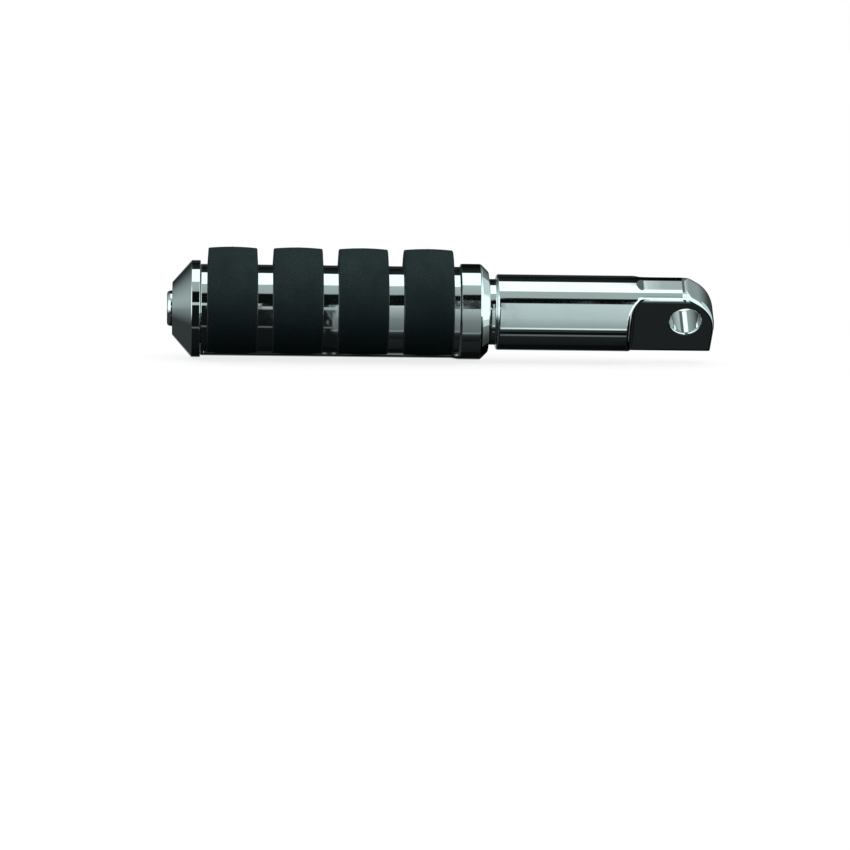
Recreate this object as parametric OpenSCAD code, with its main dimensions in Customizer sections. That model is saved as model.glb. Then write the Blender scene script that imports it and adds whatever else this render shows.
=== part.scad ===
// Motorcycle foot peg: rubber-banded sleeve, end cap, clamp bolt and clevis mount adapter.
// The origin is the centre of the clevis pin hole. The peg runs along -X and its crown is up (+Z).

/* [Sleeve] */
// Diameter of the flange
flange_d = 31.75; // [30:0.25:34]
// Width of the inner flange
flange_w = 9.5; // [7:0.5:12]
// Distance from the pin hole to the sleeve's inner face
pin_to_sleeve = 65.35; // [60:0.05:75]
// Diameter of the pocket floor that the bands sit on
floor_d = 29.7; // [29:0.1:30]
// Half of the angle that the keel covers at the bottom
keel_half_angle = 23.5; // [15:0.5:30]
// Diameter of the keel
keel_d = 31; // [30.1:0.1:31.5]
// Diameter of the hollow behind the end cap
hollow_d = 23; // [18:0.5:25]

/* [Rubber bands] */
// Width of a band along the peg
band_w = 16.9; // [14:0.1:18]
// Bare floor between two bands
band_gap = 4.7; // [2:0.1:6]
// Bare floor outside the first and last band
band_margin = 2.1; // [1:0.1:3]
// Height of the crown above the peg's axis
crown_h = 20.65; // [18:0.05:22]
// How far a band's edges lie below its middle
edge_drop = 0.4; // [0.2:0.1:1]
// How much narrower a band is on each side at its crown
band_draft = 0.3; // [0:0.05:0.6]
// Depth of the inner rib that locates a band
rib_h = 1; // [0.5:0.1:1.5]
// Width of that rib
rib_w = 4; // [2:0.5:8]

/* [End cap] */
// Diameter of the rim
rim_d = 32.2; // [31:0.1:34]
// Width of the rim
rim_w = 2.95; // [2:0.05:4]
// Length of the cone
cone_l = 6.4; // [5:0.1:8]
// Diameter of the outer face
cap_face_d = 17.5; // [16:0.5:22]
// Length of the spigot inside the sleeve
spigot_l = 8; // [5:0.5:12]

/* [Mount adapter] */
// Diameter of the round body
adapter_d = 25.2; // [24:0.1:26]
// Length of the neck between the sleeve and the body
neck_l = 2.55; // [2:0.05:4]
// Diameter of the neck and of the cone's large end
neck_d = 21.9; // [20:0.1:22.5]
// Length of the cone that seats in the sleeve
seat_l = 9.9; // [8:0.1:12]
// Diameter of the nose
nose_d = 14.5; // [13:0.1:16]
// Length of the nose
nose_l = 14.8; // [12:0.1:18]
// Thickness of the tang
tang_t = 12.2; // [11:0.1:13]
// Distance from the tang's shoulder to the pin hole
tang_l = 17.5; // [16:0.5:20]
// Diameter of the pin hole
pin_hole_d = 10.3; // [9.6:0.1:10.5]
// Distance of the pin hole from the body's axis
pin_offset = 1.8; // [0:0.1:2.5]
// Roll of the tang about the peg
tang_roll = 35; // [0:1:90]

/* [Clamp bolt] */
// Diameter of the shank
bolt_d = 7.94; // [7.9:0.01:8]
// Length under the head
bolt_l = 88.9; // [83:0.1:92]
// Diameter of the head
head_d = 11.9; // [11.5:0.1:12]
// Height of the head
head_h = 7.94; // [7.5:0.01:8]
// Width across the flats of the hexagon socket
socket_af = 6.35; // [6:0.05:6.4]
// How far the head stands out of the end cap
head_proud = 1.7; // [0.5:0.1:3]
// Thickness of the lock washer
washer_t = 2; // [1.6:0.1:2.2]

/* [Hidden] */
$fn = 96;

// Clearances between pieces, on the radius
fit_gap = 0.05;
face_gap = 0.02;
cut_through = 1;

band_count = 4;
band_pitch = band_w + band_gap;
pocket_l = band_count * band_pitch - band_gap + 2 * band_margin;

// Stations along the peg, from the tang to the bolt head
x_flange_in = -pin_to_sleeve;
x_pocket_in = x_flange_in - flange_w;
x_pocket_out = x_pocket_in - pocket_l;
x_rim_out = x_pocket_out - rim_w;
x_cap_face = x_rim_out - cone_l;
x_head_end = x_cap_face - head_proud;
x_head_seat = x_head_end + head_h;
x_cap_seat = x_head_seat + washer_t + 2 * face_gap;
x_body_out = x_flange_in + neck_l;
x_nose_in = x_flange_in - seat_l;
x_nose_end = x_nose_in - nose_l;

flange_r = flange_d / 2;
flange_chamfer = 2.6;
rim_round = 0.4;
nose_relief = 1.5;
web_l = 8.5;
x_web_out = x_nose_end - nose_relief - web_l;

// Radii in the bolt's bore, and in the tapped hole, which is modelled plain
passage_r = bolt_d / 2 + 0.35;
tapped_r = bolt_d / 2 + fit_gap;
tapped_depth = 20;
counterbore_r = head_d / 2 + 0.25;
washer_in_r = bolt_d / 2 + 0.2;
washer_out_r = head_d / 2 - 0.2;
washer_slot_w = 1;
washer_slot_tilt = 35;
socket_depth = 4;
head_round = 0.9;
bolt_tip = 0.9;

nose_chamfer = 1.9;
body_chamfer = 0.5;
pin_chamfer = 0.4;
tang_corner_r = 4.2;
tang_side_top = 9.3;
tang_top = 10.52;
tang_top_from = -14.05;
tang_top_to = -0.3;
runout_r = 8;
tang_end_centre = [-3.5, -3.5];
tang_end_r = 13.4;
tang_end_slant = 3.5;

// The outer surface of a band is turned about an axis above the peg's own
band_edge_r = keel_d / 2;
band_lift = (crown_h * crown_h - band_edge_r * band_edge_r)
            / (2 * (crown_h + band_edge_r * cos(keel_half_angle)));
band_r = crown_h - band_lift;
band_edge_round = 0.35;

function arc(centre, r, from, to, steps) =
    [for (i = [0 : steps]) let (a = from + (to - from) * i / steps)
        centre + r * [cos(a), sin(a)]];

// Points are [radius, station]
module turned(points) {
    rotate([0, 90, 0]) rotate_extrude() polygon(points);
}

module rod(r, from, to, r_to = undef) {
    translate([from, 0, 0]) rotate([0, 90, 0])
        cylinder(h = to - from, r1 = r, r2 = r_to == undef ? r : r_to);
}

// The peg's own axis passes beside the pin hole
module on_peg_axis() {
    rotate([tang_roll, 0, 0]) translate([0, 0, -pin_offset]) rotate([-tang_roll, 0, 0])
        children();
}

module keel_wedge(half_angle, from, to) {
    reach = 2 * flange_r;
    translate([from, 0, 0]) rotate([0, 90, 0]) linear_extrude(to - from)
        polygon([[0, 0],
                 reach * [cos(half_angle), sin(half_angle)],
                 reach * [cos(half_angle), -sin(half_angle)]]);
}

function band_centre(i) = x_pocket_out + band_margin + band_w / 2 + i * band_pitch;

module rib_ring(i, r_in, r_out, w) {
    difference() {
        rod(r_out, band_centre(i) - w / 2, band_centre(i) + w / 2);
        rod(r_in, band_centre(i) - w, band_centre(i) + w);
    }
}

module sleeve_floor() {
    difference() {
        rod(floor_d / 2, x_pocket_out, x_pocket_in);
        for (i = [0 : band_count - 1])
            rib_ring(i, floor_d / 2 - rib_h, flange_r, rib_w);
    }
}

module keel() {
    intersection() {
        rod(keel_d / 2, x_pocket_out, x_pocket_in);
        keel_wedge(keel_half_angle, x_pocket_out, x_pocket_in);
    }
}

module inner_flange() {
    turned([[0, x_pocket_in],
            [flange_r, x_pocket_in],
            [flange_r, x_flange_in - flange_chamfer],
            [flange_r - flange_chamfer, x_flange_in],
            [0, x_flange_in]]);
}

module sleeve() {
    color("silver") on_peg_axis() difference() {
        union() {
            sleeve_floor();
            keel();
            inner_flange();
        }
        rod(hollow_d / 2, x_pocket_out - cut_through, x_web_out);
        rod(passage_r, x_web_out - cut_through, x_nose_end);
        rod(nose_d / 2 + fit_gap, x_nose_end - nose_relief, x_nose_in);
        rod(nose_d / 2 + fit_gap, x_nose_in, x_flange_in, neck_d / 2 + fit_gap);
        rod(neck_d / 2 + fit_gap, x_flange_in, x_flange_in + cut_through);
    }
}

module end_cap() {
    spigot_r = hollow_d / 2 - fit_gap;
    lip = x_pocket_out - face_gap;
    color("silver") on_peg_axis() turned([
        [counterbore_r, x_cap_face],
        [cap_face_d / 2, x_cap_face],
        [rim_d / 2, x_rim_out],
        [rim_d / 2, lip - rim_round],
        [rim_d / 2 - rim_round, lip],
        [spigot_r, lip],
        [spigot_r, x_pocket_out + spigot_l - rim_round],
        [spigot_r - rim_round, x_pocket_out + spigot_l],
        [passage_r, x_pocket_out + spigot_l],
        [passage_r, x_cap_seat],
        [counterbore_r, x_cap_seat]]);
}

module clamp_bolt() {
    x_tip = x_head_seat + bolt_l;
    head_r = head_d / 2;
    color("silver") on_peg_axis() difference() {
        turned(concat([[0, x_head_end]],
                      arc([head_r - head_round, x_head_end + head_round],
                          head_round, -90, 0, 6),
                      [[head_r, x_head_seat],
                       [bolt_d / 2, x_head_seat],
                       [bolt_d / 2, x_tip - bolt_tip],
                       [bolt_d / 2 - bolt_tip, x_tip],
                       [0, x_tip]]));
        translate([x_head_end - cut_through, 0, 0]) rotate([0, 90, 0])
            cylinder(h = socket_depth + cut_through, d = socket_af / cos(30), $fn = 6);
    }
}

module lock_washer() {
    from = x_head_seat + face_gap;
    color("gray") on_peg_axis() difference() {
        rod(washer_out_r, from, from + washer_t);
        rod(washer_in_r, from - cut_through, from + washer_t + cut_through);
        translate([from + washer_t / 2, 0, washer_out_r]) rotate([0, 0, washer_slot_tilt])
            cube([3 * washer_t, washer_slot_w, 2 * (washer_out_r - washer_in_r) + 1],
                 center = true);
    }
}

// Crowned outer profile, as [radius about the raised axis, station]
function band_profile(x) =
    let (half = band_w / 2,
         top = half - band_draft,
         shoulder_r = band_r - edge_drop - band_edge_round,
         foot_r = floor_d / 2 - band_lift - cut_through,
         bow_r = (top * top + edge_drop * edge_drop) / (2 * edge_drop),
         bow = asin((top - band_edge_round) / bow_r))
    concat([[0, x - half], [foot_r, x - half]],
           arc([shoulder_r, x - top + band_edge_round], band_edge_round, -90, -20, 4),
           arc([band_r - bow_r, x], bow_r, -bow, bow, 8),
           arc([shoulder_r, x + top - band_edge_round], band_edge_round, 20, 90, 4),
           [[foot_r, x + half], [0, x + half]]);

module rubber_band(i) {
    from = band_centre(i) - band_w / 2;
    to = band_centre(i) + band_w / 2;
    color([0.14, 0.16, 0.16]) on_peg_axis() difference() {
        union() {
            difference() {
                translate([0, 0, band_lift]) turned(band_profile(band_centre(i)));
                rod(floor_d / 2 + fit_gap, from - cut_through, to + cut_through);
            }
            rib_ring(i, floor_d / 2 - rib_h + fit_gap, floor_d / 2 + 2 * fit_gap,
                     rib_w - 2 * fit_gap);
        }
        keel_wedge(keel_half_angle + 0.3, from - cut_through, to + cut_through);
    }
}

// In the tang's own frame the pin hole runs along Y and the rounded corner is up
module tang_side_cut() {
    reach = adapter_d;
    corner = [-tang_l + tang_corner_r, tang_side_top - tang_corner_r];
    translate([0, -tang_t / 2, 0]) rotate([90, 0, 0]) linear_extrude(reach) {
        translate([corner.x, -reach]) square([reach, reach + tang_side_top]);
        translate([-tang_l, -reach]) square([reach, reach + corner.y]);
        translate(corner) circle(tang_corner_r);
    }
}

// Everything that the adapter keeps, seen along the pin
module tang_outline() {
    reach = adapter_d;
    centre = tang_end_centre;
    brow = [tang_top_to, tang_top] - centre;
    arc_from = atan2(brow.y, brow.x) - acos(tang_end_r / norm(brow));
    heel = centre + tang_end_r * [cos(tang_end_slant), -sin(tang_end_slant)];
    rotate([90, 0, 0]) linear_extrude(2 * reach, center = true) polygon(concat(
        [[x_nose_end - reach, -reach], [x_nose_end - reach, reach]],
        [[tang_top_from - runout_r, reach]],
        arc([tang_top_from, tang_top + runout_r], runout_r, -150, -90, 8),
        [[tang_top_to, tang_top]],
        arc(centre, tang_end_r, arc_from, -tang_end_slant, 16),
        [[heel.x - (reach + heel.y) * tan(tang_end_slant), -reach]]));
}

module pin_hole() {
    wide = pin_hole_d / 2 + pin_chamfer;
    rotate([90, 0, 0]) cylinder(h = adapter_d, d = pin_hole_d, center = true);
    for (side = [0, 1]) mirror([0, side, 0])
        translate([0, tang_t / 2 - pin_chamfer, 0]) rotate([-90, 0, 0])
            cylinder(h = 2 * pin_chamfer, r1 = pin_hole_d / 2, r2 = wide + pin_chamfer);
}

module adapter_blank() {
    body_r = adapter_d / 2;
    nose_r = nose_d / 2;
    turned([[0, x_nose_end],
            [nose_r - nose_chamfer / 2, x_nose_end],
            [nose_r, x_nose_end + nose_chamfer],
            [nose_r, x_nose_in],
            [neck_d / 2, x_flange_in],
            [neck_d / 2, x_body_out],
            [body_r - body_chamfer, x_body_out],
            [body_r, x_body_out + body_chamfer],
            [body_r, tang_end_r],
            [0, tang_end_r]]);
}

module mount_adapter() {
    color("silver") rotate([tang_roll, 0, 0]) difference() {
        intersection() {
            translate([0, 0, -pin_offset]) adapter_blank();
            tang_outline();
        }
        tang_side_cut();
        mirror([0, 1, 0]) tang_side_cut();
        pin_hole();
        translate([0, 0, -pin_offset])
            rod(tapped_r, x_nose_end - cut_through, x_nose_end + tapped_depth);
    }
}

mount_adapter();
sleeve();
end_cap();
clamp_bolt();
lock_washer();
rubber_band(0);  // rubber_band_1
rubber_band(1);  // rubber_band_2
rubber_band(2);  // rubber_band_3
rubber_band(3);  // rubber_band_4
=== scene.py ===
"""Looks for the foot peg: rounded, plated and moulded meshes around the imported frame."""

import math

import bmesh
import bpy
import numpy as np
from mathutils import Matrix, Vector


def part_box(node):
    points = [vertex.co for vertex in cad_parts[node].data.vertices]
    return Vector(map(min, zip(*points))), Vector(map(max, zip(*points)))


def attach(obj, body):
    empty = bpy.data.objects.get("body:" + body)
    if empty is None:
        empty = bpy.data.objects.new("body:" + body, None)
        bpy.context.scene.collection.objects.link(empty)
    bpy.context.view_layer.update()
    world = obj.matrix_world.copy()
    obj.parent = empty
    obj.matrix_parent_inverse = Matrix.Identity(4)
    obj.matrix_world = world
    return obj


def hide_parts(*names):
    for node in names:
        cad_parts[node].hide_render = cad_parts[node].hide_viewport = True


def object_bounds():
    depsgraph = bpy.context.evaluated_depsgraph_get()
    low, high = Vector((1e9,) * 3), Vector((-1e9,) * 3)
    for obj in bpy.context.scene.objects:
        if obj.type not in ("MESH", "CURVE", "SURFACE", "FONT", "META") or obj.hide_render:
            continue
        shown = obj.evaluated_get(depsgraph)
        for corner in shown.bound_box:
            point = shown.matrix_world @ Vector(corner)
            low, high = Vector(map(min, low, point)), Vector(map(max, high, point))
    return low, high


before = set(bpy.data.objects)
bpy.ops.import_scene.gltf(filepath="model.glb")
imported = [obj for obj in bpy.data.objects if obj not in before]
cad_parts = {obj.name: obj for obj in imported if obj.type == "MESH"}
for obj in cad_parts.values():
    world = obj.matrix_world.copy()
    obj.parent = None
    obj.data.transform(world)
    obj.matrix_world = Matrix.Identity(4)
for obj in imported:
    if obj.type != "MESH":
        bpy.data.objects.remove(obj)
CAD_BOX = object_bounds()
MM = 0.001


def span(node):
    """Lowest and highest corner of a CAD node, in millimetres."""
    lo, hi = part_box(node)
    return np.array(lo) / MM, np.array(hi) / MM


# ---------------------------------------------------------------- sizes, in millimetres
CAP_LO, CAP_HI = span("end_cap")
SLEEVE_LO, SLEEVE_HI = span("sleeve")
BOLT_LO, BOLT_HI = span("clamp_bolt")
WASHER_LO, WASHER_HI = span("lock_washer")
ADAPTER_LO, ADAPTER_HI = span("mount_adapter")
BANDS = ["rubber_band_1", "rubber_band_2", "rubber_band_3", "rubber_band_4"]

# The peg's own axis passes beside the pin hole, which is the frame's origin
PIN_OFFSET = 1.8
TANG_ROLL = math.radians(35)
AXIS_Y = PIN_OFFSET * math.sin(TANG_ROLL)
AXIS_Z = -PIN_OFFSET * math.cos(TANG_ROLL)
RIM_R = (CAP_HI[2] - CAP_LO[2]) / 2

FLANGE_R = 15.875
FLANGE_W = 9.5
POCKET_R = 14.85
KEEL_HALF = math.radians(23.5)
KEEL_R = 15.5
HOLLOW_R = 11.5
NECK_R = 10.95
NOSE_R = 7.25
BOLT_R = 3.97
PASSAGE_R = 4.32
COUNTERBORE_R = 6.2
FIT = 0.05

NOSE_DEEP = 9.9
NECK_GAP = 2.55
BODY_R = 12.6

# Stations along the peg: "out" is towards the end cap, "in" is towards the tang
X_FLANGE_IN = SLEEVE_HI[0]
X_POCKET_IN = X_FLANGE_IN - FLANGE_W
X_POCKET_OUT = SLEEVE_LO[0]
X_NOSE_END = ADAPTER_LO[0]
X_NOSE_IN = X_FLANGE_IN - NOSE_DEEP
X_BODY_OUT = X_FLANGE_IN + NECK_GAP

THREAD_PITCH = 25.4 / 18
SEAT_GAP = 0.02


# ---------------------------------------------------------------- mesh tools
def rounded(corners, closed=False):
    """A profile of (radius, station, fillet) corners, with each fillet as an arc between short flats."""
    edge_share, arc_degrees, flat_share = 0.42, 11, 0.06
    pts = [np.array(c[:2], float) for c in corners]
    out = []
    last = len(pts) - 1
    for i, corner in enumerate(corners):
        if not closed and i in (0, last):
            out.append(pts[i])
            continue
        before = pts[i] - pts[i - 1]
        after = pts[(i + 1) % len(pts)] - pts[i]
        len_b, len_a = np.linalg.norm(before), np.linalg.norm(after)
        d1, d2 = before / len_b, after / len_a
        turn = math.acos(max(-1.0, min(1.0, float(d1 @ d2))))
        if turn < 1e-3:
            out.append(pts[i])
            continue
        tangent = min(corner[2] * math.tan(turn / 2), edge_share * len_b, edge_share * len_a)
        radius = tangent / math.tan(turn / 2)
        side = d2 - d1 * (d1 @ d2)
        side /= np.linalg.norm(side)
        start = pts[i] - d1 * tangent
        flat = flat_share * min(1.0, tangent)
        steps = max(3, math.ceil(math.degrees(turn) / arc_degrees))
        out.append(start - d1 * flat)
        for k in range(steps + 1):
            a = turn * k / steps
            out.append(start + radius * (math.sin(a) * d1 + (1 - math.cos(a)) * side))
        out.append(pts[i] + d2 * (tangent + flat))
    return np.array(out)


def around(radius, station, theta):
    """A point on the peg's axis frame; theta runs from the crown towards the front."""
    return (station * MM,
            (AXIS_Y - radius * math.sin(theta)) * MM,
            (AXIS_Z + radius * math.cos(theta)) * MM)


def make_piece(name, verts, faces, body, node, materials, sharp=40):
    """A smooth mesh that rides on a body and stands for a CAD node. Sharp edges are over `sharp` degrees."""
    mesh = bpy.data.meshes.new(name)
    mesh.from_pydata(verts, [], faces)
    work = bmesh.new()
    work.from_mesh(mesh)
    bmesh.ops.remove_doubles(work, verts=work.verts, dist=1e-8)
    bmesh.ops.recalc_face_normals(work, faces=work.faces)
    for face in work.faces:
        face.smooth = True
    work.to_mesh(mesh)
    work.free()
    mesh.set_sharp_from_angle(angle=math.radians(sharp))
    for material in materials:
        mesh.materials.append(material)
    piece = bpy.data.objects.new(name, mesh)
    bpy.context.scene.collection.objects.link(piece)
    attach(piece, body)
    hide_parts(node)
    return piece


def circle(turns):
    """Angles that divide a full circle evenly."""
    return [2 * math.pi * t / turns for t in range(turns)]


def turned(section, thetas, closed=True):
    """Vertices and faces of a section turned through a full circle. An open section ends on the axis."""
    rings = [[around(r, x, theta) for r, x in section(theta)] for theta in thetas]
    count = len(rings[0])
    verts = [v for ring in rings for v in ring]
    faces = []
    for t in range(len(rings)):
        a, b = t * count, (t + 1) % len(rings) * count
        for i in range(count if closed else count - 1):
            j = (i + 1) % count
            quad = [a + i, a + j, b + j, b + i]
            if not closed and i == 0:
                quad = [a, a + j, b + j]
            elif not closed and j == count - 1:
                quad = [a + i, a + j, b + i]
            faces.append(quad)
    return verts, faces


def swept(sections):
    """Vertices and faces between sections that are closed loops of paired outer and inner points."""
    count = len(sections[0])
    half = count // 2
    verts = [v for section in sections for v in section]
    faces = []
    for s in range(len(sections) - 1):
        a, b = s * count, (s + 1) * count
        for i in range(count):
            j = (i + 1) % count
            faces.append([a + i, a + j, b + j, b + i])
    for base in (0, (len(sections) - 1) * count):
        for i in range(half - 1):
            faces.append([base + i, base + i + 1, base + count - 2 - i, base + count - 1 - i])
    return verts, faces


def spread(low, high, step):
    """Evenly spaced numbers from low to high, about a step apart."""
    return list(np.linspace(low, high, max(2, round((high - low) / step) + 1)))


def ease(value, low, high):
    """0 below low, 1 above high, and a smooth rise between."""
    t = min(1.0, max(0.0, (value - low) / (high - low)))
    return t * t * (3 - 2 * t)


def smooth_max(a, b, k):
    """The larger of two distances, with the corner between them rounded over k."""
    h = np.maximum(k - np.abs(a - b), 0) / k
    return np.maximum(a, b) + h * h * k / 4


def smooth_min(a, b, k):
    return -smooth_max(-a, -b, k)


def gradient(field, p, eps=0.01):
    """The field's slope at each point, from differences over eps on either side."""
    g = np.empty_like(p)
    for i in range(3):
        step = np.zeros(3)
        step[i] = eps
        g[:, i] = (field(*(p + step).T) - field(*(p - step).T)) / (2 * eps)
    return g


def surface_net(field, lo, hi, step):
    """Quads over the zero surface of a distance field, with every vertex drawn onto the surface."""
    axes = [np.arange(a, b + step, step) for a, b in zip(lo, hi)]
    values = field(*np.meshgrid(*axes, indexing="ij"))
    inside = values < 0
    corners = [(i, j, k) for i in (0, 1) for j in (0, 1) for k in (0, 1)]
    size = [n - 1 for n in values.shape]

    def shifted(array, c):
        return array[c[0]:c[0] + size[0], c[1]:c[1] + size[1], c[2]:c[2] + size[2]]

    filled = sum(shifted(inside, c).astype(np.int8) for c in corners)
    active = (filled > 0) & (filled < 8)
    cells = np.argwhere(active)
    at = {c: values[tuple((cells + c).T)] for c in corners}
    total = np.zeros((len(cells), 3))
    hits = np.zeros(len(cells))
    for c in corners:
        for axis in range(3):
            if c[axis]:
                continue
            d = tuple(1 if i == axis else c[i] for i in range(3))
            cross = (at[c] < 0) != (at[d] < 0)
            t = np.where(cross, at[c] / np.where(cross, at[c] - at[d], 1), 0)
            point = np.array(c) + t[:, None] * (np.array(d) - np.array(c))
            total += point * cross[:, None]
            hits += cross
    points = np.array(lo) + (cells + total / hits[:, None]) * step
    settling_rounds, least_slope = 4, 0.5
    for _ in range(settling_rounds):
        g = gradient(field, points)
        move = -(field(*points.T) / np.maximum((g * g).sum(1), least_slope ** 2))[:, None] * g
        points += np.clip(move, -step / 2, step / 2)
    ids = np.full(active.shape, -1)
    ids[active] = np.arange(len(cells))
    quads = []
    for axis in range(3):
        u, v = [i for i in range(3) if i != axis]
        first = [slice(None)] * 3
        second = [slice(None)] * 3
        first[axis], second[axis] = slice(0, -1), slice(1, None)
        flip = inside[tuple(first)] != inside[tuple(second)]
        for i in (u, v):
            edge = [slice(None)] * 3
            edge[i] = 0
            flip[tuple(edge)] = False
            edge[i] = -1
            flip[tuple(edge)] = False
        where = np.argwhere(flip)
        du, dv = np.zeros(3, int), np.zeros(3, int)
        du[u], dv[v] = 1, 1
        loop = [where - du - dv, where - dv, where, where - du]
        quads.append(np.stack([ids[tuple(w.T)] for w in loop], 1))
    return points, np.concatenate(quads)


# ---------------------------------------------------------------- materials
class Nodes:
    """Short helper for building a node tree."""

    def __init__(self, tree):
        self.tree = tree
        tree.nodes.clear()

    def add(self, kind, **settings):
        node = self.tree.nodes.new(kind)
        for key, value in settings.items():
            if key in node.inputs:
                self.put(node.inputs[key], value)
            else:
                setattr(node, key, value)
        return node

    def put(self, socket, value):
        if isinstance(value, bpy.types.NodeSocket):
            self.tree.links.new(value, socket)
        else:
            socket.default_value = value

    def math(self, operation, a, b=0.0):
        node = self.add("ShaderNodeMath", operation=operation)
        self.put(node.inputs[0], a)
        self.put(node.inputs[1], b)
        return node.outputs[0]

    def fade(self, value, low, high, to_low=0.0, to_high=1.0):
        """A smooth change from to_low at low to to_high at high, and flat beyond them."""
        node = self.add("ShaderNodeMapRange", interpolation_type="SMOOTHSTEP")
        for key, number in zip(("Value", "From Min", "From Max", "To Min", "To Max"),
                               (value, low, high, to_low, to_high)):
            self.put(node.inputs[key], number)
        return node.outputs[0]

    def noise(self, vector, scale, detail=4.0, roughness=0.5):
        node = self.add("ShaderNodeTexNoise", Scale=scale, Detail=detail, Roughness=roughness)
        self.put(node.inputs["Vector"], vector)
        return node.outputs["Fac"]

    def stretch(self, vector, scale):
        node = self.add("ShaderNodeMapping", Scale=scale)
        self.put(node.inputs["Vector"], vector)
        return node.outputs[0]

    def blend(self, factor, a, b):
        """Colour a where the factor is 0, and colour b where it is 1."""
        node = self.add("ShaderNodeMix", data_type="RGBA")
        for index, value in ((0, factor), (6, a), (7, b)):
            self.put(node.inputs[index], value)
        return node.outputs[2]

    def bump(self, height, strength, distance, normal=None):
        node = self.add("ShaderNodeBump", Strength=strength, Distance=distance)
        self.put(node.inputs["Height"], height)
        if normal is not None:
            self.put(node.inputs["Normal"], normal)
        return node.outputs[0]


def new_material(name):
    """A principled material, with its node helper, its shader and the piece's own coordinates in metres."""
    material = bpy.data.materials.new(name)
    material.use_nodes = True
    nodes = Nodes(material.node_tree)
    shader = nodes.add("ShaderNodeBsdfPrincipled")
    output = nodes.add("ShaderNodeOutputMaterial")
    nodes.put(output.inputs["Surface"], shader.outputs[0])
    place = nodes.add("ShaderNodeTexCoord").outputs["Object"]
    return material, nodes, shader, place


def chrome(name, waviness):
    """Bright plating: faint waves under the plate, polishing haze and a few fine hairlines."""
    material, n, shader, place = new_material(name)
    bright, hazy = (0.93, 0.95, 0.95, 1), (0.88, 0.91, 0.91, 1)
    wave = n.noise(place, 170.0, 1.5, 0.5)
    haze = n.noise(place, 60.0, 5.0)
    hairs = n.noise(n.stretch(place, (220.0, 2600.0, 2600.0)), 1.0, 3.0, 0.6)
    n.put(shader.inputs["Base Color"], n.blend(n.fade(haze, 0.35, 0.7), bright, hazy))
    n.put(shader.inputs["Metallic"], 1.0)
    n.put(shader.inputs["Roughness"], n.fade(haze, 0.35, 0.75, 0.018, 0.055))
    soft = n.bump(wave, waviness, 0.0002)
    n.put(shader.inputs["Normal"], n.bump(hairs, 0.02, 0.00001, soft))
    return material


def satin_steel():
    """The turned nose and cone: fine tool lines round the axis."""
    material, n, shader, place = new_material("turned_satin")
    dull, bright = (0.50, 0.53, 0.53, 1), (0.70, 0.73, 0.72, 1)
    lines = n.noise(n.stretch(place, (9000.0, 25.0, 25.0)), 1.0, 2.0, 0.7)
    bands = n.noise(n.stretch(place, (1400.0, 10.0, 10.0)), 1.0, 2.0)
    n.put(shader.inputs["Base Color"], n.blend(bands, dull, bright))
    n.put(shader.inputs["Metallic"], 1.0)
    n.put(shader.inputs["Roughness"], n.fade(lines, 0.3, 0.7, 0.20, 0.34))
    n.put(shader.inputs["Normal"], n.bump(lines, 0.35, 0.00003))
    return material


def spring_steel():
    """The lock washer: a dull grey steel with a fine grain."""
    material, n, shader, place = new_material("spring_steel")
    dark, pale = (0.30, 0.31, 0.31, 1), (0.45, 0.46, 0.45, 1)
    grain = n.noise(place, 900.0, 4.0)
    n.put(shader.inputs["Base Color"], n.blend(grain, dark, pale))
    n.put(shader.inputs["Metallic"], 1.0)
    n.put(shader.inputs["Roughness"], n.fade(grain, 0.3, 0.7, 0.25, 0.45))
    n.put(shader.inputs["Normal"], n.bump(grain, 0.2, 0.00004))
    return material


def rubber():
    """Matte moulded rubber: fine grain, a smudged sheen and paler scuffs."""
    material, n, shader, place = new_material("moulded_rubber")
    clean, scuffed = (0.0118, 0.0184, 0.0201, 1), (0.0250, 0.0378, 0.0408, 1)
    grain = n.noise(place, 4200.0, 3.0, 0.6)
    speck = n.noise(place, 2200.0, 3.0, 0.65)
    smudge = n.noise(n.stretch(place, (90.0, 55.0, 55.0)), 1.0, 4.0, 0.55)
    scuffs = n.math("MULTIPLY", n.fade(smudge, 0.30, 0.70, 0.25, 1.0), n.fade(speck, 0.35, 0.65))
    n.put(shader.inputs["Base Color"], n.blend(scuffs, clean, scuffed))
    n.put(shader.inputs["Roughness"], n.fade(smudge, 0.3, 0.7, 0.72, 0.56))
    n.put(shader.inputs["Specular IOR Level"], 0.2)
    coarse = n.bump(speck, 0.25, 0.00006)
    n.put(shader.inputs["Normal"], n.bump(grain, 0.35, 0.00004, coarse))
    return material


CHROME = chrome("chrome_plate", 0.03)
CAST_CHROME = chrome("chrome_on_casting", 0.16)
SATIN = satin_steel()
STEEL = spring_steel()
RUBBER = rubber()


# ---------------------------------------------------------------- sleeve
POCKET_CORNER = 1.9
POCKET_WALL = 0.32
KEEL_FLARE = 3.0
FLANGE_CHAMFER = 2.6
RIB_H = 1.0
RIB_W = 4.0
END_ROUND = 0.3
PAST_END = 0.6
CAST_PAST_POCKET = 0.3
RELIEF_L = 1.5
WEB_L = 10


def pocket_distance(x, theta):
    """Signed distance to the pocket's rounded rim, on the unrolled floor. Negative inside."""
    left = X_POCKET_OUT - PAST_END
    half_x = (X_POCKET_IN - left) / 2
    half_s = POCKET_R * (math.pi - KEEL_HALF)
    turn = (theta + math.pi) % (2 * math.pi) - math.pi
    qx = abs(x - (left + X_POCKET_IN) / 2) - half_x + POCKET_CORNER
    qs = abs(turn) * POCKET_R - half_s + POCKET_CORNER
    return math.hypot(max(qx, 0), max(qs, 0)) + min(max(qx, qs), 0) - POCKET_CORNER


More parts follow.
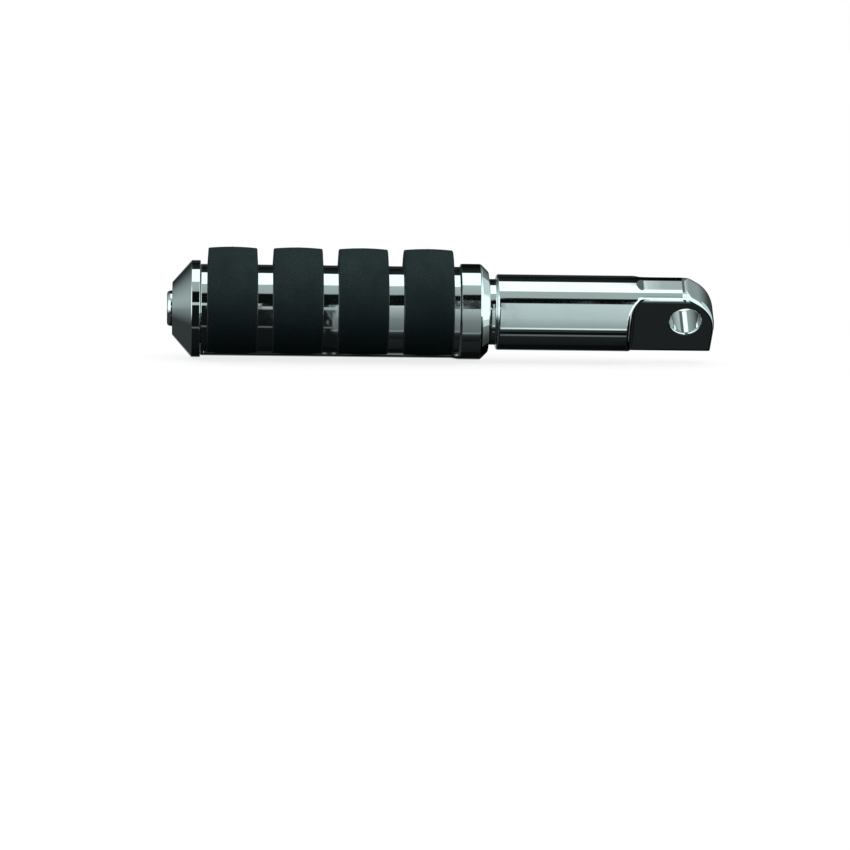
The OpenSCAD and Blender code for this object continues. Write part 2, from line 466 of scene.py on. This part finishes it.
def sleeve_radius(x, theta, grooves):
    """The skin: keel and flange on top, the pocket's floor below them, and a groove for each band's rib."""
    top = KEEL_R + (FLANGE_R - KEEL_R) * ease(x, X_POCKET_IN - KEEL_FLARE, X_POCKET_IN)
    depth = pocket_distance(x, theta)
    radius = POCKET_R + (top - POCKET_R) * ease(depth, -POCKET_WALL, POCKET_WALL)
    if depth < -POCKET_WALL and any(abs(x - c) < RIB_W / 2 for c in grooves):
        radius -= RIB_H
    return radius


def sleeve_stations(grooves):
    """Stations along the skin, close together at the pocket's walls and at the grooves' edges."""
    coarse, medium, fine, finest = 1.6, 1.2, 0.12, 0.055
    edge = X_POCKET_OUT + 2.2
    stations = spread(X_POCKET_OUT + 0.35, edge, fine)
    for c in grooves:
        stations += spread(edge + 0.5, c - RIB_W / 2 - 0.3, coarse)
        for side in (-1, 1):
            rim = c + side * RIB_W / 2
            stations += [rim - 0.05, rim - 0.01, rim + 0.01, rim + 0.05]
        edge = c + RIB_W / 2 + 0.3
    stations += spread(edge, X_POCKET_IN - KEEL_FLARE - 0.2, medium)
    stations += spread(X_POCKET_IN - KEEL_FLARE, X_POCKET_IN - 0.5, fine)
    stations += spread(X_POCKET_IN - 0.44, X_POCKET_IN + 0.44, finest)
    return stations + [X_POCKET_IN + 0.6, X_FLANGE_IN - FLANGE_CHAMFER - 0.6]


def sleeve_angles():
    """Angles round the sleeve, close together where the pocket rises to the keel."""
    keel = math.pi - KEEL_HALF
    corner = (POCKET_CORNER + 0.8) / POCKET_R
    wall, past_wall, fine = 0.6 / POCKET_R, 0.9 / POCKET_R, 0.09 / POCKET_R
    far_keel = 2 * math.pi - keel
    angles = spread(-keel + corner, keel - corner, math.radians(2.0))[1:-1]
    angles += spread(keel - corner, keel + wall, fine)
    angles += spread(keel + past_wall, far_keel - past_wall, math.radians(1.6))
    return angles + spread(far_keel - wall, far_keel + corner, fine)


def flange_and_bore():
    """The turned rest of the sleeve: flange, chamfer, socket for the cone and nose, web and hollow."""
    corners = [(FLANGE_R, X_POCKET_IN + 1, 0),
               (FLANGE_R, X_FLANGE_IN - FLANGE_CHAMFER, 1.1),
               (FLANGE_R - FLANGE_CHAMFER, X_FLANGE_IN, 0.9),
               (NECK_R + FIT, X_FLANGE_IN, 0.2),
               (NOSE_R + FIT, X_NOSE_IN, 0.3),
               (NOSE_R + FIT, X_NOSE_END - RELIEF_L, 0.2),
               (PASSAGE_R, X_NOSE_END - RELIEF_L, 0.2),
               (PASSAGE_R, X_NOSE_END - WEB_L, 0.3),
               (HOLLOW_R, X_NOSE_END - WEB_L, 0.8),
               (HOLLOW_R, X_POCKET_OUT, 0.4),
               (POCKET_R - 0.1, X_POCKET_OUT, 0)]
    return [tuple(p) for p in rounded(corners)[1:-1]]


def sleeve():
    grooves = [(span(band)[0][0] + span(band)[1][0]) / 2 for band in BANDS]
    stations = sleeve_stations(grooves)
    inside = flange_and_bore()

    def section(theta):
        skin = [(sleeve_radius(x, theta, grooves), x) for x in stations]
        rim_r = skin[0][0] - END_ROUND
        rim_x = X_POCKET_OUT + END_ROUND
        rim = [(rim_r + END_ROUND * math.sin(a), rim_x - END_ROUND * math.cos(a))
               for a in np.linspace(0, math.pi / 2, 5)[:-1]]
        return rim + skin + inside

    verts, faces = turned(section, sleeve_angles())
    piece = make_piece("sleeve_casting", verts, faces, "barrel", "sleeve",
                       [CHROME, CAST_CHROME])
    for face in piece.data.polygons:
        if X_POCKET_OUT < face.center.x / MM < X_POCKET_IN + CAST_PAST_POCKET:
            face.material_index = 1


# ---------------------------------------------------------------- end cap, bolt and washer
CAP_FACE_R = 8.75
CAP_RIM_W = 2.95


def end_cap():
    face_x, lip = CAP_LO[0], X_POCKET_OUT - SEAT_GAP
    spigot_r, spigot_x = HOLLOW_R - FIT, CAP_HI[0]
    seat_x = WASHER_HI[0] + SEAT_GAP
    rim_x = lip + SEAT_GAP - CAP_RIM_W
    profile = rounded([(COUNTERBORE_R, face_x, 0.3),
                       (CAP_FACE_R, face_x, 0.35),
                       (RIM_R, rim_x, 0.45),
                       (RIM_R, lip, 0.3),
                       (spigot_r, lip, 0.2),
                       (spigot_r, spigot_x, 0.5),
                       (PASSAGE_R, spigot_x, 0.3),
                       (PASSAGE_R, seat_x, 0.2),
                       (COUNTERBORE_R, seat_x, 0.3)], closed=True)
    verts, faces = turned(lambda theta: profile, circle(224))
    make_piece("cap_turned", verts, faces, "cap", "end_cap", [CHROME])


THREAD_DEPTH = 0.75
THREAD_HALF = 0.44
THREAD_LENGTH = 28.5
THREAD_FADE_IN = 1.5
THREAD_FADE_OUT = 1.2
TIP_BEVEL = 0.9
HEAD_DOME_R = 0.9
HEAD_DOME_L = 1.6
SOCKET_ACROSS = 6.35
SOCKET_MOUTH_R = 4.0
SOCKET_MOUTH_L = 0.5
SOCKET_DEEP = 4
SOCKET_END = 4.9


def thread_dip(x, theta, start, end):
    """Depth of a V thread below its crest, fading out at both ends."""
    phase = (x / THREAD_PITCH - theta / (2 * math.pi)) % 1.0
    groove = max(0.0, 1 - abs(phase - 0.5) / THREAD_HALF)
    fade_in = ease(x, start, start + THREAD_FADE_IN)
    return THREAD_DEPTH * groove * fade_in * ease(-x, -end, -end + THREAD_FADE_OUT)


def clamp_bolt():
    head_x, tip_x = BOLT_LO[0], BOLT_HI[0]
    head_r = (BOLT_HI[2] - BOLT_LO[2]) / 2
    seat_x = WASHER_LO[0] - SEAT_GAP
    socket_r = SOCKET_ACROSS / 2
    mouth_x = head_x + SOCKET_MOUTH_L
    thread_from = tip_x - THREAD_LENGTH
    tip = rounded([(0, tip_x, 0), (BOLT_R - TIP_BEVEL, tip_x, 0.15), (BOLT_R, tip_x - TIP_BEVEL, 0.1),
                   (BOLT_R, thread_from, 0)])[:-1]
    dome = [(head_r - HEAD_DOME_R * (1 - math.cos(a)), head_x + HEAD_DOME_L * (1 - math.sin(a)), 0)
            for a in np.linspace(0, math.pi / 2, 14)]
    body = rounded([(BOLT_R, thread_from, 0), (BOLT_R, seat_x, 0.4), (head_r, seat_x, 0.3)]
                   + dome + [(SOCKET_MOUTH_R, head_x, 0.15), (socket_r, mouth_x, 0)])[1:-1]
    threads = spread(-(tip_x - THREAD_FADE_OUT), -thread_from, THREAD_PITCH / 10)

    def section(theta):
        a = (theta + math.pi / 6) % (math.pi / 3) - math.pi / 6
        hexagon = socket_r / math.cos(a)
        cut = [(BOLT_R - thread_dip(-x, theta, thread_from, tip_x), -x) for x in threads]
        socket = [(hexagon, mouth_x - 0.05), (hexagon, mouth_x), (hexagon, head_x + SOCKET_DEEP - 0.05),
                  (hexagon - 0.05, head_x + SOCKET_DEEP), (0.4, head_x + SOCKET_END),
                  (0, head_x + SOCKET_END)]
        return [tuple(p) for p in tip] + cut + [tuple(p) for p in body] + socket

    verts, faces = turned(section, circle(192), closed=False)
    make_piece("bolt_socket_head", verts, faces, "bolt", "clamp_bolt", [CHROME], sharp=50)


WASHER_PLAY = 0.2


def lock_washer():
    """A split ring whose two ends are cut on the slant and stand slightly apart."""
    x0, x1 = WASHER_LO[0], WASHER_HI[0]
    inner, outer = BOLT_R + WASHER_PLAY, (WASHER_HI[2] - WASHER_LO[2]) / 2
    gap, slant = math.radians(9), math.radians(12)
    round_ = 0.2

    def side(r, sign):
        """One side of the section, from the inner face to the outer, with eased corners."""
        return [(r - sign * round_ * (1 - math.sin(a)), mid)
                for a, mid in ((0, x1), (math.pi / 4, x1 - round_ * 0.3), (math.pi / 2, x1 - round_),
                               (math.pi / 2, x0 + round_), (math.pi / 4, x0 + round_ * 0.3),
                               (0, x0))]

    loop = side(outer, 1) + side(inner, -1)[::-1]
    sections = []
    for t in np.linspace(gap, 2 * math.pi - gap, 120):
        lean = [slant * ((x - x0) / (x1 - x0) - 0.5) for _, x in loop]
        sections.append([around(r, x, t + s) for (r, x), s in zip(loop, lean)])
    verts, faces = swept(sections)
    make_piece("washer_split_ring", verts, faces, "washer", "lock_washer", [STEEL])


# ---------------------------------------------------------------- rubber bands
BAND_DRAFT = 0.3
BAND_ROUND = 0.35
BAND_END_GAP = math.radians(0.35)
EDGE_DROP = 0.4
SEAM_H = 0.05
SEAM_W = 0.35
UNEVEN = 0.02
WAIST = 0.4


def rubber_band(node, seed):
    """A thick open ring: an eccentric crown, eased and slightly dropped edges, and a rib in the groove."""
    lo, hi = span(node)
    centre, half = (lo[0] + hi[0]) / 2, (hi[0] - lo[0]) / 2
    crown = hi[2] - AXIS_Z
    lift = (crown ** 2 - KEEL_R ** 2) / (2 * (crown + KEEL_R * math.cos(KEEL_HALF)))
    turned_r = crown - lift
    end = math.pi - KEEL_HALF - BAND_END_GAP
    top = half - BAND_DRAFT
    waist_u = top + WAIST * BAND_DRAFT
    foot = POCKET_R + FIT
    wobble = np.random.default_rng(seed).uniform(-1, 1, 6)
    arc = [math.pi / 2 * k / 5 for k in range(6)]
    rib_edges = [side * RIB_W / 2 + shift for side in (-1, 1) for shift in (-0.04, 0.04)]
    seam = [SEAM_W * share for share in (-1, -0.5, 0, 0.5, 1)]
    flat = sorted(set(spread(-top + BAND_ROUND, top - BAND_ROUND, 1.1) + rib_edges + seam))

    def outer_radius(theta):
        """The crown is a circle whose centre is lifted above the peg's axis."""
        return lift * math.cos(theta) + math.sqrt(turned_r ** 2 - (lift * math.sin(theta)) ** 2)

    def section(theta):
        skin = outer_radius(theta)
        skin += UNEVEN * sum(w * math.sin((k + 1) * theta) for k, w in enumerate(wobble))
        round_ = min(BAND_ROUND, 0.4 * (skin - foot - 0.1))
        edge = skin - EDGE_DROP * min(1.0, (skin - foot) / 2)
        outer, inner = [], []
        for a in arc[:-1]:
            outer.append((edge - round_ + round_ * math.sin(a), -top + round_ - round_ * math.cos(a)))
        for u in flat:
            line = SEAM_H * max(0.0, 1 - abs(u) / SEAM_W)
            bow = (edge - skin) * (u / top) ** 2
            outer.append((skin + bow + line, u))
        for a in arc[-2::-1]:
            outer.append((edge - round_ + round_ * math.sin(a), top - round_ + round_ * math.cos(a)))
        waist_r = (edge - round_) * (1 - WAIST) + foot * WAIST
        outer.insert(0, (waist_r, -waist_u))
        outer.append((waist_r, waist_u))
        for r, u in outer:
            ribbed = abs(u) < RIB_W / 2 - FIT + 0.04
            width = u * half / waist_u
            inner.append((foot - RIB_H if ribbed else foot, u if abs(u) < top - 1 else width))
        return outer + inner[::-1]

    sections = []
    for t in spread(-end, end, math.radians(1.5)):
        sections.append([around(r, centre + u, t) for r, u in section(t)])
    verts, faces = swept(sections)
    make_piece("band_" + node[-1], verts, faces, "barrel", node, [RUBBER], sharp=55)


# ---------------------------------------------------------------- mount adapter
OVERLAP = 2
NECK_FILLET = 0.3
NOSE_FILLET = 0.2
CORNER_FILLET = 0.05
TIP_L = 1.9
TIP_R = 0.95
BODY_ROUND = 0.9
BODY_FILLET = 0.5

TANG_HALF = 6.1
TANG_L = 17.5
TANG_SIDE_TOP = 9.3
TANG_CORNER = 4.2
CHEEK_FILLET = 0.5
CHEEK_ROUND = 0.9
SHOULDER_SLOPE = math.tan(math.radians(14))
SOFT_FROM = 4.4
SOFT_RATE = 0.0625
SOFT_START = 1
SOFT_FADE = 4

TANG_TOP = 10.52
TANG_TOP_FROM = -14.05
TANG_TOP_TO = -0.3
TOP_FILLET = 0.15
RUNOUT_R = 8.0
ROLL_OFF = 0.035
ROLL_OFF_L = 1.5
ROLL_OFF_FADE = 4

# The end of the tang: a slanted stop face below, an arc, and a straight brow above that meets the top
TANG_END_X = -3.5
TANG_END_Z = -3.5
TANG_END_R = 13.4
TANG_SLANT = math.radians(3.5)
BROW_X = TANG_TOP_TO - TANG_END_X
BROW_Z = TANG_TOP - TANG_END_Z
TANG_BROW = math.atan2(BROW_Z, BROW_X) - math.acos(TANG_END_R / math.hypot(BROW_Z, BROW_X))
END_SOFT_FROM = 3.5
END_SOFT_RATE = 0.075
END_ROUND_R = 0.5

PIN_R = 5.15
PIN_ROUND = 0.1
PIN_CHAMFER = 0.4
CHAMFER_ROUND = 0.15
TAP_DEPTH = 0.35
TAP_LENGTH = 20
TAP_SINK = 0.9
TAP_SINK_L = 3
NET_STEP = 0.25
SATIN_PAST_FLANGE = 0.3


def neck_and_nose(x, r):
    """The cone that seats in the flange, with the neck before it and the bevelled nose after it."""
    flare = (NECK_R - NOSE_R) / (X_FLANGE_IN - X_NOSE_IN)
    cone = (r - NOSE_R - (x - X_NOSE_IN) * flare) / math.hypot(1, flare)
    neck = np.maximum(smooth_max(r - NECK_R, cone, NECK_FILLET), x - X_BODY_OUT - OVERLAP)
    nose = smooth_max(r - NOSE_R, X_NOSE_END - x, NOSE_FILLET)
    tip = ((r - NOSE_R) * TIP_L - (x - X_NOSE_END - TIP_L) * TIP_R) / math.hypot(TIP_L, TIP_R)
    nose = np.maximum(smooth_max(nose, tip, NOSE_FILLET), x - X_NOSE_IN - OVERLAP)
    return smooth_min(neck, nose, CORNER_FILLET)


def top_roll_off(x, z):
    """How far the top falls away just before the tang's end."""
    run = np.clip(x - TANG_TOP_TO + ROLL_OFF_L, 0, ROLL_OFF_L)
    return ROLL_OFF * run ** 2 * np.clip(z / ROLL_OFF_FADE, 0, 1)


def round_body(x, y, z, r):
    """The round body, whose top edges soften over the length of the tang."""
    along = np.clip((x + TANG_L - SOFT_START) / SOFT_FADE, 0, 1)
    soft_edge = SOFT_RATE * np.maximum(np.abs(y) - SOFT_FROM, 0) ** 2 * along * (z > 0)
    return smooth_max(r - BODY_R + soft_edge + top_roll_off(x, z), X_BODY_OUT - x, BODY_ROUND)


def cheek_cuts(x, y, z):
    """The space milled away on each side of the tang, with a round corner and a sloping shoulder."""
    depth = np.abs(y) - TANG_HALF
    a = -TANG_L - np.maximum(depth, 0) * SHOULDER_SLOPE - x + TANG_CORNER
    b = z - TANG_SIDE_TOP + TANG_CORNER
    plan = np.hypot(np.maximum(a, 0), np.maximum(b, 0)) + np.minimum(np.maximum(a, b), 0)
    return smooth_max(plan - TANG_CORNER, -depth, CHEEK_FILLET)


def tang_top(x, z):
    """The flat on top of the tang, which runs out towards the body in an arc."""
    past = x - TANG_TOP_FROM
    flat = np.where(past > 0, z - TANG_TOP, RUNOUT_R - np.hypot(past, z - TANG_TOP - RUNOUT_R))
    return flat + top_roll_off(x, z)


def tang_end(x, y, z):
    """Slanted stop face, arc and brow in one distance, with both side edges softened."""
    cx, cz = x - TANG_END_X, z - TANG_END_Z
    lean = np.clip(np.arctan2(cz, cx), -TANG_SLANT, TANG_BROW)
    end = cx * np.cos(lean) + cz * np.sin(lean) - TANG_END_R
    return end + END_SOFT_RATE * np.maximum(np.abs(y) - END_SOFT_FROM, 0) ** 2


def tapped_hole(x, y, z, r):
    """The hole for the bolt, with a shallow thread and a countersunk mouth."""
    turn = np.arctan2(y, z + PIN_OFFSET) / (2 * math.pi)
    groove = TAP_DEPTH * (0.5 + 0.5 * np.cos(2 * math.pi * (x / THREAD_PITCH - turn)))
    bore = np.maximum(r - BOLT_R - FIT - groove, x - X_NOSE_END - TAP_LENGTH)
    sink = (r - BOLT_R - TAP_SINK + (x - X_NOSE_END)) / math.sqrt(2)
    return np.minimum(bore, np.maximum(sink, x - X_NOSE_END - TAP_SINK_L))


def adapter_field(x, y, z):
    """Signed distance to the adapter, in the tang's own frame, with the pin hole along y."""
    r = np.hypot(y, z + PIN_OFFSET)
    solid = smooth_min(neck_and_nose(x, r), round_body(x, y, z, r), BODY_FILLET)
    solid = smooth_max(solid, -cheek_cuts(x, y, z), CHEEK_ROUND)
    solid = smooth_max(solid, tang_top(x, z), TOP_FILLET)
    solid = smooth_max(solid, tang_end(x, y, z), END_ROUND_R)
    pin = PIN_R - np.hypot(x, z)
    rim = (pin + PIN_CHAMFER + (np.abs(y) - TANG_HALF)) / math.sqrt(2)
    solid = smooth_max(smooth_max(solid, pin, PIN_ROUND), rim, CHAMFER_ROUND)
    return np.maximum(solid, -tapped_hole(x, y, z, r))


def mount_adapter():
    margin, headroom = 0.6, 2.0
    lo = (X_NOSE_END - margin, -BODY_R - margin, -PIN_OFFSET - BODY_R - margin)
    hi = (ADAPTER_HI[0] + margin, BODY_R + margin, TANG_TOP + headroom)
    points, quads = surface_net(adapter_field, lo, hi, NET_STEP)
    c, s = math.cos(TANG_ROLL), math.sin(TANG_ROLL)
    x, y, z = points.T
    verts = np.stack([x, y * c - z * s, y * s + z * c], 1) * MM
    piece = make_piece("adapter_forging", verts.tolist(), quads.tolist(), "adapter",
                       "mount_adapter", [CHROME, SATIN], sharp=60)
    nx, ny, nz = gradient(adapter_field, points).T
    normals = np.stack([nx, ny * c - nz * s, ny * s + nz * c], 1)
    normals /= np.linalg.norm(normals, axis=1)[:, None]
    piece.data.normals_split_custom_set_from_vertices(normals.tolist())
    for face in piece.data.polygons:
        if face.center.x < (X_FLANGE_IN + SATIN_PAST_FLANGE) * MM:
            face.material_index = 1


sleeve()
end_cap()
clamp_bolt()
lock_washer()
for number, band in enumerate(BANDS):
    rubber_band(band, 11 + number)
mount_adapter()


# ---------------------------------------------------------------- studio
# The camera stands far off, slightly above the peg and turned a little towards its tang
CAMERA_RISE = math.radians(4.6)
CAMERA_YAW = math.radians(2.66)
AIM_DROP = math.radians(1.34)
CAMERA_ROLL = math.radians(0.877)
CAMERA_REACH = 1.611
LENS_RATIO = 5.706
SIGHT_ACROSS = 0.00707
SIGHT_UP = 0.02339

# Bars of light and black card by angle round the peg: 0 is the camera, 90 overhead, -90 the ground.
# Each bar is (degrees it starts at, its grey there, its grey at its far end)
GROUND_BARS = [(-180, 0.42, 0.22), (-159, 0.004, 0.004), (-116, 0.009, 0.016)]
OVERHEAD_BARS = [(67, 1.3, 1.3), (107, 0.02, 0.003), (140, 0.03, 0.004), (161, 0.25, 0.42)]
ADAPTER_BARS = GROUND_BARS + [(-77, 0.14, 0.14), (-71, 0.004, 0.004), (-61, 0.04, 0.02), (-53, 0.9, 0.9),
                              (-48, 0.34, 0.50), (-20, 0.53, 0.62), (27, 0.003, 0.003),
                              (44, 0.42, 0.42)] + OVERHEAD_BARS
FLANGE_BARS = GROUND_BARS + [(-77, 0.006, 0.02), (-61, 0.05, 0.02), (-56, 0.25, 0.25), (-52, 0.14, 0.22),
                             (-20, 0.24, 0.46), (9, 0.58, 0.58), (13, 0.004, 0.004),
                             (41, 0.38, 0.48)] + OVERHEAD_BARS
SLEEVE_BARS = GROUND_BARS[:2] + [(-110, 0.006, 0.008), (-48, 0.12, 0.12), (-44, 0.006, 0.008),
                                 (0, 0.30, 0.45), (7, 0.004, 0.004), (41, 0.38, 0.44)] + OVERHEAD_BARS
BAR_BLUR = 1.2

# Where one ring of bars gives way to the next: the x of what untilted chrome reflects there
SLEEVE_TO_FLANGE = (0.0268, 0.0288)
FLANGE_TO_ADAPTER = (0.0595, 0.0605)
CARD_BLACK = 0.004
CORNER_WHITE = 1.2

STUDIO_TINT = (0.81, 1.0, 0.985, 1)
PAPER_DARK = (0.275, 0.230, 0.232, 1)
PAPER_LIGHT = (0.285, 0.240, 0.242, 1)
PAPER_GLOW = 0.798
FLOOR_GAP = 0.0005
FLOOR_HALF = 4.0


def grey(level):
    return (level, level, level, 1)


def light_ring(n, turn, bars):
    """Bars of light round the peg. The turn runs from 0 at -180 degrees to 1 at 180."""
    node = n.add("ShaderNodeValToRGB")
    node.color_ramp.interpolation = "LINEAR"
    elements = node.color_ramp.elements
    while len(elements) > 1:
        elements.remove(elements[-1])
    stops = []
    for index, (start, near, far) in enumerate(bars):
        end = bars[index + 1][0] if index + 1 < len(bars) else 180
        stops.append((start + BAR_BLUR / 2, near))
        stops.append((end - BAR_BLUR / 2, far))
    for index, (degrees, level) in enumerate(stops):
        place = (degrees + 180) / 360
        element = elements[0] if index == 0 else elements.new(place)
        element.position = place
        element.color = grey(level)
    n.put(node.inputs["Fac"], turn)
    return node.outputs["Color"]


def product(n, *factors):
    """All the factors multiplied together."""
    total = factors[0]
    for factor in factors[1:]:
        total = n.math("MULTIPLY", total, factor)
    return total


def larger(n, *values):
    """The largest of the values."""
    most = values[0]
    for value in values[1:]:
        most = n.math("MAXIMUM", most, value)
    return most


def middle_light(n, x, front, up):
    """What the peg's untilted sides reflect: a ring of bars, and patches for the cap, neck and tang."""
    turn = n.math("DIVIDE", n.math("ADD", n.math("ARCTAN2", up, front), math.pi), 2 * math.pi)
    adapter = light_ring(n, turn, ADAPTER_BARS)
    flange = light_ring(n, turn, FLANGE_BARS)
    sleeve_side = light_ring(n, turn, SLEEVE_BARS)
    light = n.blend(n.fade(x, *SLEEVE_TO_FLANGE), sleeve_side, flange)
    light = n.blend(n.fade(x, *FLANGE_TO_ADAPTER), light, adapter)
    cap_line = product(n, n.fade(x, 0.010, 0.004), n.fade(up, -0.03, -0.01), n.fade(up, 0.26, 0.24),
                       n.fade(front, 0.5, 0.7))
    light = n.blend(cap_line, light, n.fade(up, 0.13, 0.15, 0.006, 0.55))
    neck_shadow = product(n, n.fade(x, 0.050, 0.052), n.fade(x, 0.0600, 0.0595),
                          n.fade(up, 0.10, 0.12), n.fade(up, 0.66, 0.64))
    light = n.blend(neck_shadow, light, grey(CARD_BLACK))
    tang_dimmed = product(n, n.fade(x, 0.082, 0.096), n.fade(front, -0.02, -0.12), 0.66)
    light = n.blend(tang_dimmed, light, grey(0))
    tang_corner = product(n, n.fade(x, 0.0895, 0.0915), n.fade(front, 0.78, 0.86))
    return n.blend(tang_corner, light, grey(CORNER_WHITE))


def left_light(n, front, up):
    """Beyond the cap: a big sheet above the axis that falls away to black below and behind."""
    sheet = product(n, n.fade(up, -0.45, 0.25), n.fade(up, -0.02, 0.03, 0.85, 1.0),
                    n.fade(front, -0.9, 0.05, 0.05, 1.0), 0.46)
    ground_bounce = n.fade(up, -0.08, -0.25, 0.0, 0.040)
    strip = product(n, n.fade(front, 0.15, 0.3), n.fade(up, -0.5, 0.0), n.fade(up, 0.7, 0.8, 1.2, 0.0))
    return larger(n, sheet, ground_bounce, strip)


def right_light(n, x, front, up):
    """Beyond the tang: white in front, and grey behind that darkens towards the ground."""
    white = product(n, n.fade(front, -0.3, -0.15), n.fade(up, -0.22, -0.14),
                    n.fade(up, 0.85, 0.95, 1.2, 0.2))
    lit = larger(n, n.fade(up, -0.31, -0.27, 0.0, 0.66), n.fade(up, -0.52, -0.28, 0.015, 0.2))
    panel = product(n, n.fade(x, 0.65, 0.68), lit, n.fade(up, 0.5, 0.56, 1.0, 0.0))
    behind = n.math("MULTIPLY", n.fade(up, 0.15, 1.0, 0.05, 0.55), n.fade(up, -0.1, 0.1))
    far = larger(n, white, panel, behind)
    near = larger(n, n.fade(up, -0.2, 0.9, 0.01, 0.13), product(n, white, n.fade(front, -0.1, 0.1)))
    return n.blend(n.fade(x, 0.30, 0.38), near, far)


def studio_world():
    """White to the camera, the studio's bars of light to the chrome and a soft dome to all else."""
    world = bpy.data.worlds.new("studio")
    bpy.context.scene.world = world
    world.use_nodes = True
    n = Nodes(world.node_tree)
    ray = n.add("ShaderNodeLightPath")
    split = n.add("ShaderNodeSeparateXYZ")
    n.put(split.inputs[0], n.add("ShaderNodeTexCoord").outputs["Generated"])
    x, y, z = split.outputs
    sin_r, cos_r = math.sin(CAMERA_RISE), math.cos(CAMERA_RISE)
    front = n.math("SUBTRACT", n.math("MULTIPLY", z, sin_r), n.math("MULTIPLY", y, cos_r))
    up = n.math("ADD", n.math("MULTIPLY", z, cos_r), n.math("MULTIPLY", y, sin_r))

    studio = n.blend(n.fade(x, -0.28, -0.2, 1.0, 0.0), middle_light(n, x, front, up),
                     left_light(n, front, up))
    studio = n.blend(n.fade(x, 0.115, 0.14), studio, right_light(n, x, front, up))
    dome = n.fade(z, -0.11, 0.6)
    front_glow = product(n, n.fade(front, 0.3, 0.9), n.fade(z, -0.5, -0.1), 0.03)
    seen = n.blend(ray.outputs["Is Glossy Ray"], larger(n, dome, front_glow), studio)
    tinted = n.add("ShaderNodeMix", data_type="RGBA", blend_type="MULTIPLY")
    for index, value in ((0, 1.0), (6, seen), (7, STUDIO_TINT)):
        n.put(tinted.inputs[index], value)
    seen = n.blend(ray.outputs["Is Camera Ray"], tinted.outputs[2], grey(1))
    light = n.add("ShaderNodeBackground")
    n.put(light.inputs["Color"], seen)
    output = n.add("ShaderNodeOutputWorld")
    n.put(output.inputs["Surface"], light.outputs[0])


def paper_floor():
    """Pale paper that glows almost white and is clear from below."""
    material = bpy.data.materials.new("paper_floor")
    material.use_nodes = True
    n = Nodes(material.node_tree)
    fibre = n.noise(n.add("ShaderNodeTexCoord").outputs["Object"], 400.0, 3.0)
    paper = n.add("ShaderNodeBsdfDiffuse")
    n.put(paper.inputs["Color"], n.blend(fibre, PAPER_DARK, PAPER_LIGHT))
    both = n.add("ShaderNodeAddShader")
    n.put(both.inputs[0], paper.outputs[0])
    n.put(both.inputs[1], n.add("ShaderNodeEmission", Strength=PAPER_GLOW).outputs[0])
    sided = n.add("ShaderNodeMixShader")
    n.put(sided.inputs[0], n.add("ShaderNodeNewGeometry").outputs["Backfacing"])
    n.put(sided.inputs[1], both.outputs[0])
    n.put(sided.inputs[2], n.add("ShaderNodeBsdfTransparent").outputs[0])
    output = n.add("ShaderNodeOutputMaterial")
    n.put(output.inputs["Surface"], sided.outputs[0])
    return material


def floor():
    """A sheet just under the peg that takes a faint soft shadow and that the chrome doesn't see."""
    low, half = CAD_BOX[0][2] - FLOOR_GAP, FLOOR_HALF
    mesh = bpy.data.meshes.new("floor")
    mesh.from_pydata([(-half, -half, low), (half, -half, low), (half, half, low), (-half, half, low)],
                     [], [(0, 1, 2, 3)])
    mesh.materials.append(paper_floor())
    sheet = bpy.data.objects.new("floor", mesh)
    bpy.context.scene.collection.objects.link(sheet)
    sheet.visible_glossy = False
    sheet.visible_diffuse = False


def softbox(name, place, aim, size, power):
    """A rectangle of light aimed at a point, in metres and watts, that the chrome doesn't see."""
    light = bpy.data.lights.new(name, "AREA")
    light.shape = "RECTANGLE"
    light.size, light.size_y = size
    light.energy = power
    lamp = bpy.data.objects.new(name, light)
    bpy.context.scene.collection.objects.link(lamp)
    lamp.location = place
    lamp.rotation_mode = "QUATERNION"
    lamp.rotation_quaternion = (Vector(aim) - Vector(place)).to_track_quat("-Z", "Y")
    lamp.visible_glossy = False
    lamp.visible_camera = False


def camera():
    """A long lens on the sleeve's inner end, from the photograph's viewing angle."""
    data = bpy.data.cameras.new("camera")
    data.sensor_width = 36.0
    data.lens = data.sensor_width * LENS_RATIO
    cam = bpy.data.objects.new("camera", data)
    bpy.context.scene.collection.objects.link(cam)
    bpy.context.scene.camera = cam
    turn = Matrix.Rotation(-CAMERA_YAW, 3, "Z") @ Matrix.Rotation(-CAMERA_RISE - AIM_DROP, 3, "X")
    look, upward = turn @ Vector((0, 1, 0)), turn @ Vector((0, 0, 1))
    roll = Matrix.Rotation(CAMERA_ROLL, 3, -look)
    across, upward = roll @ turn @ Vector((1, 0, 0)), roll @ upward
    mid = Vector(((SLEEVE_HI[0] - FLANGE_W) * MM, AXIS_Y * MM, AXIS_Z * MM))
    sight = look + across * SIGHT_ACROSS + upward * SIGHT_UP
    cam.matrix_world = Matrix.Translation(mid - sight * CAMERA_REACH) @ Matrix(
        (across, upward, -look)).transposed().to_4x4()
    data.clip_start, data.clip_end = 0.05, 30.0


studio_world()
floor()
MIDDLE = tuple((a + b) / 2 for a, b in zip(*CAD_BOX))
KEY_PLACE = (MIDDLE[0] - 0.1, -0.35, 0.9)
KEY_SIZE = (1.5, 1.5)
KEY_WATTS = 0.8
softbox("key", KEY_PLACE, MIDDLE, KEY_SIZE, KEY_WATTS)
camera()
bpy.context.scene.view_settings.view_transform = "Standard"
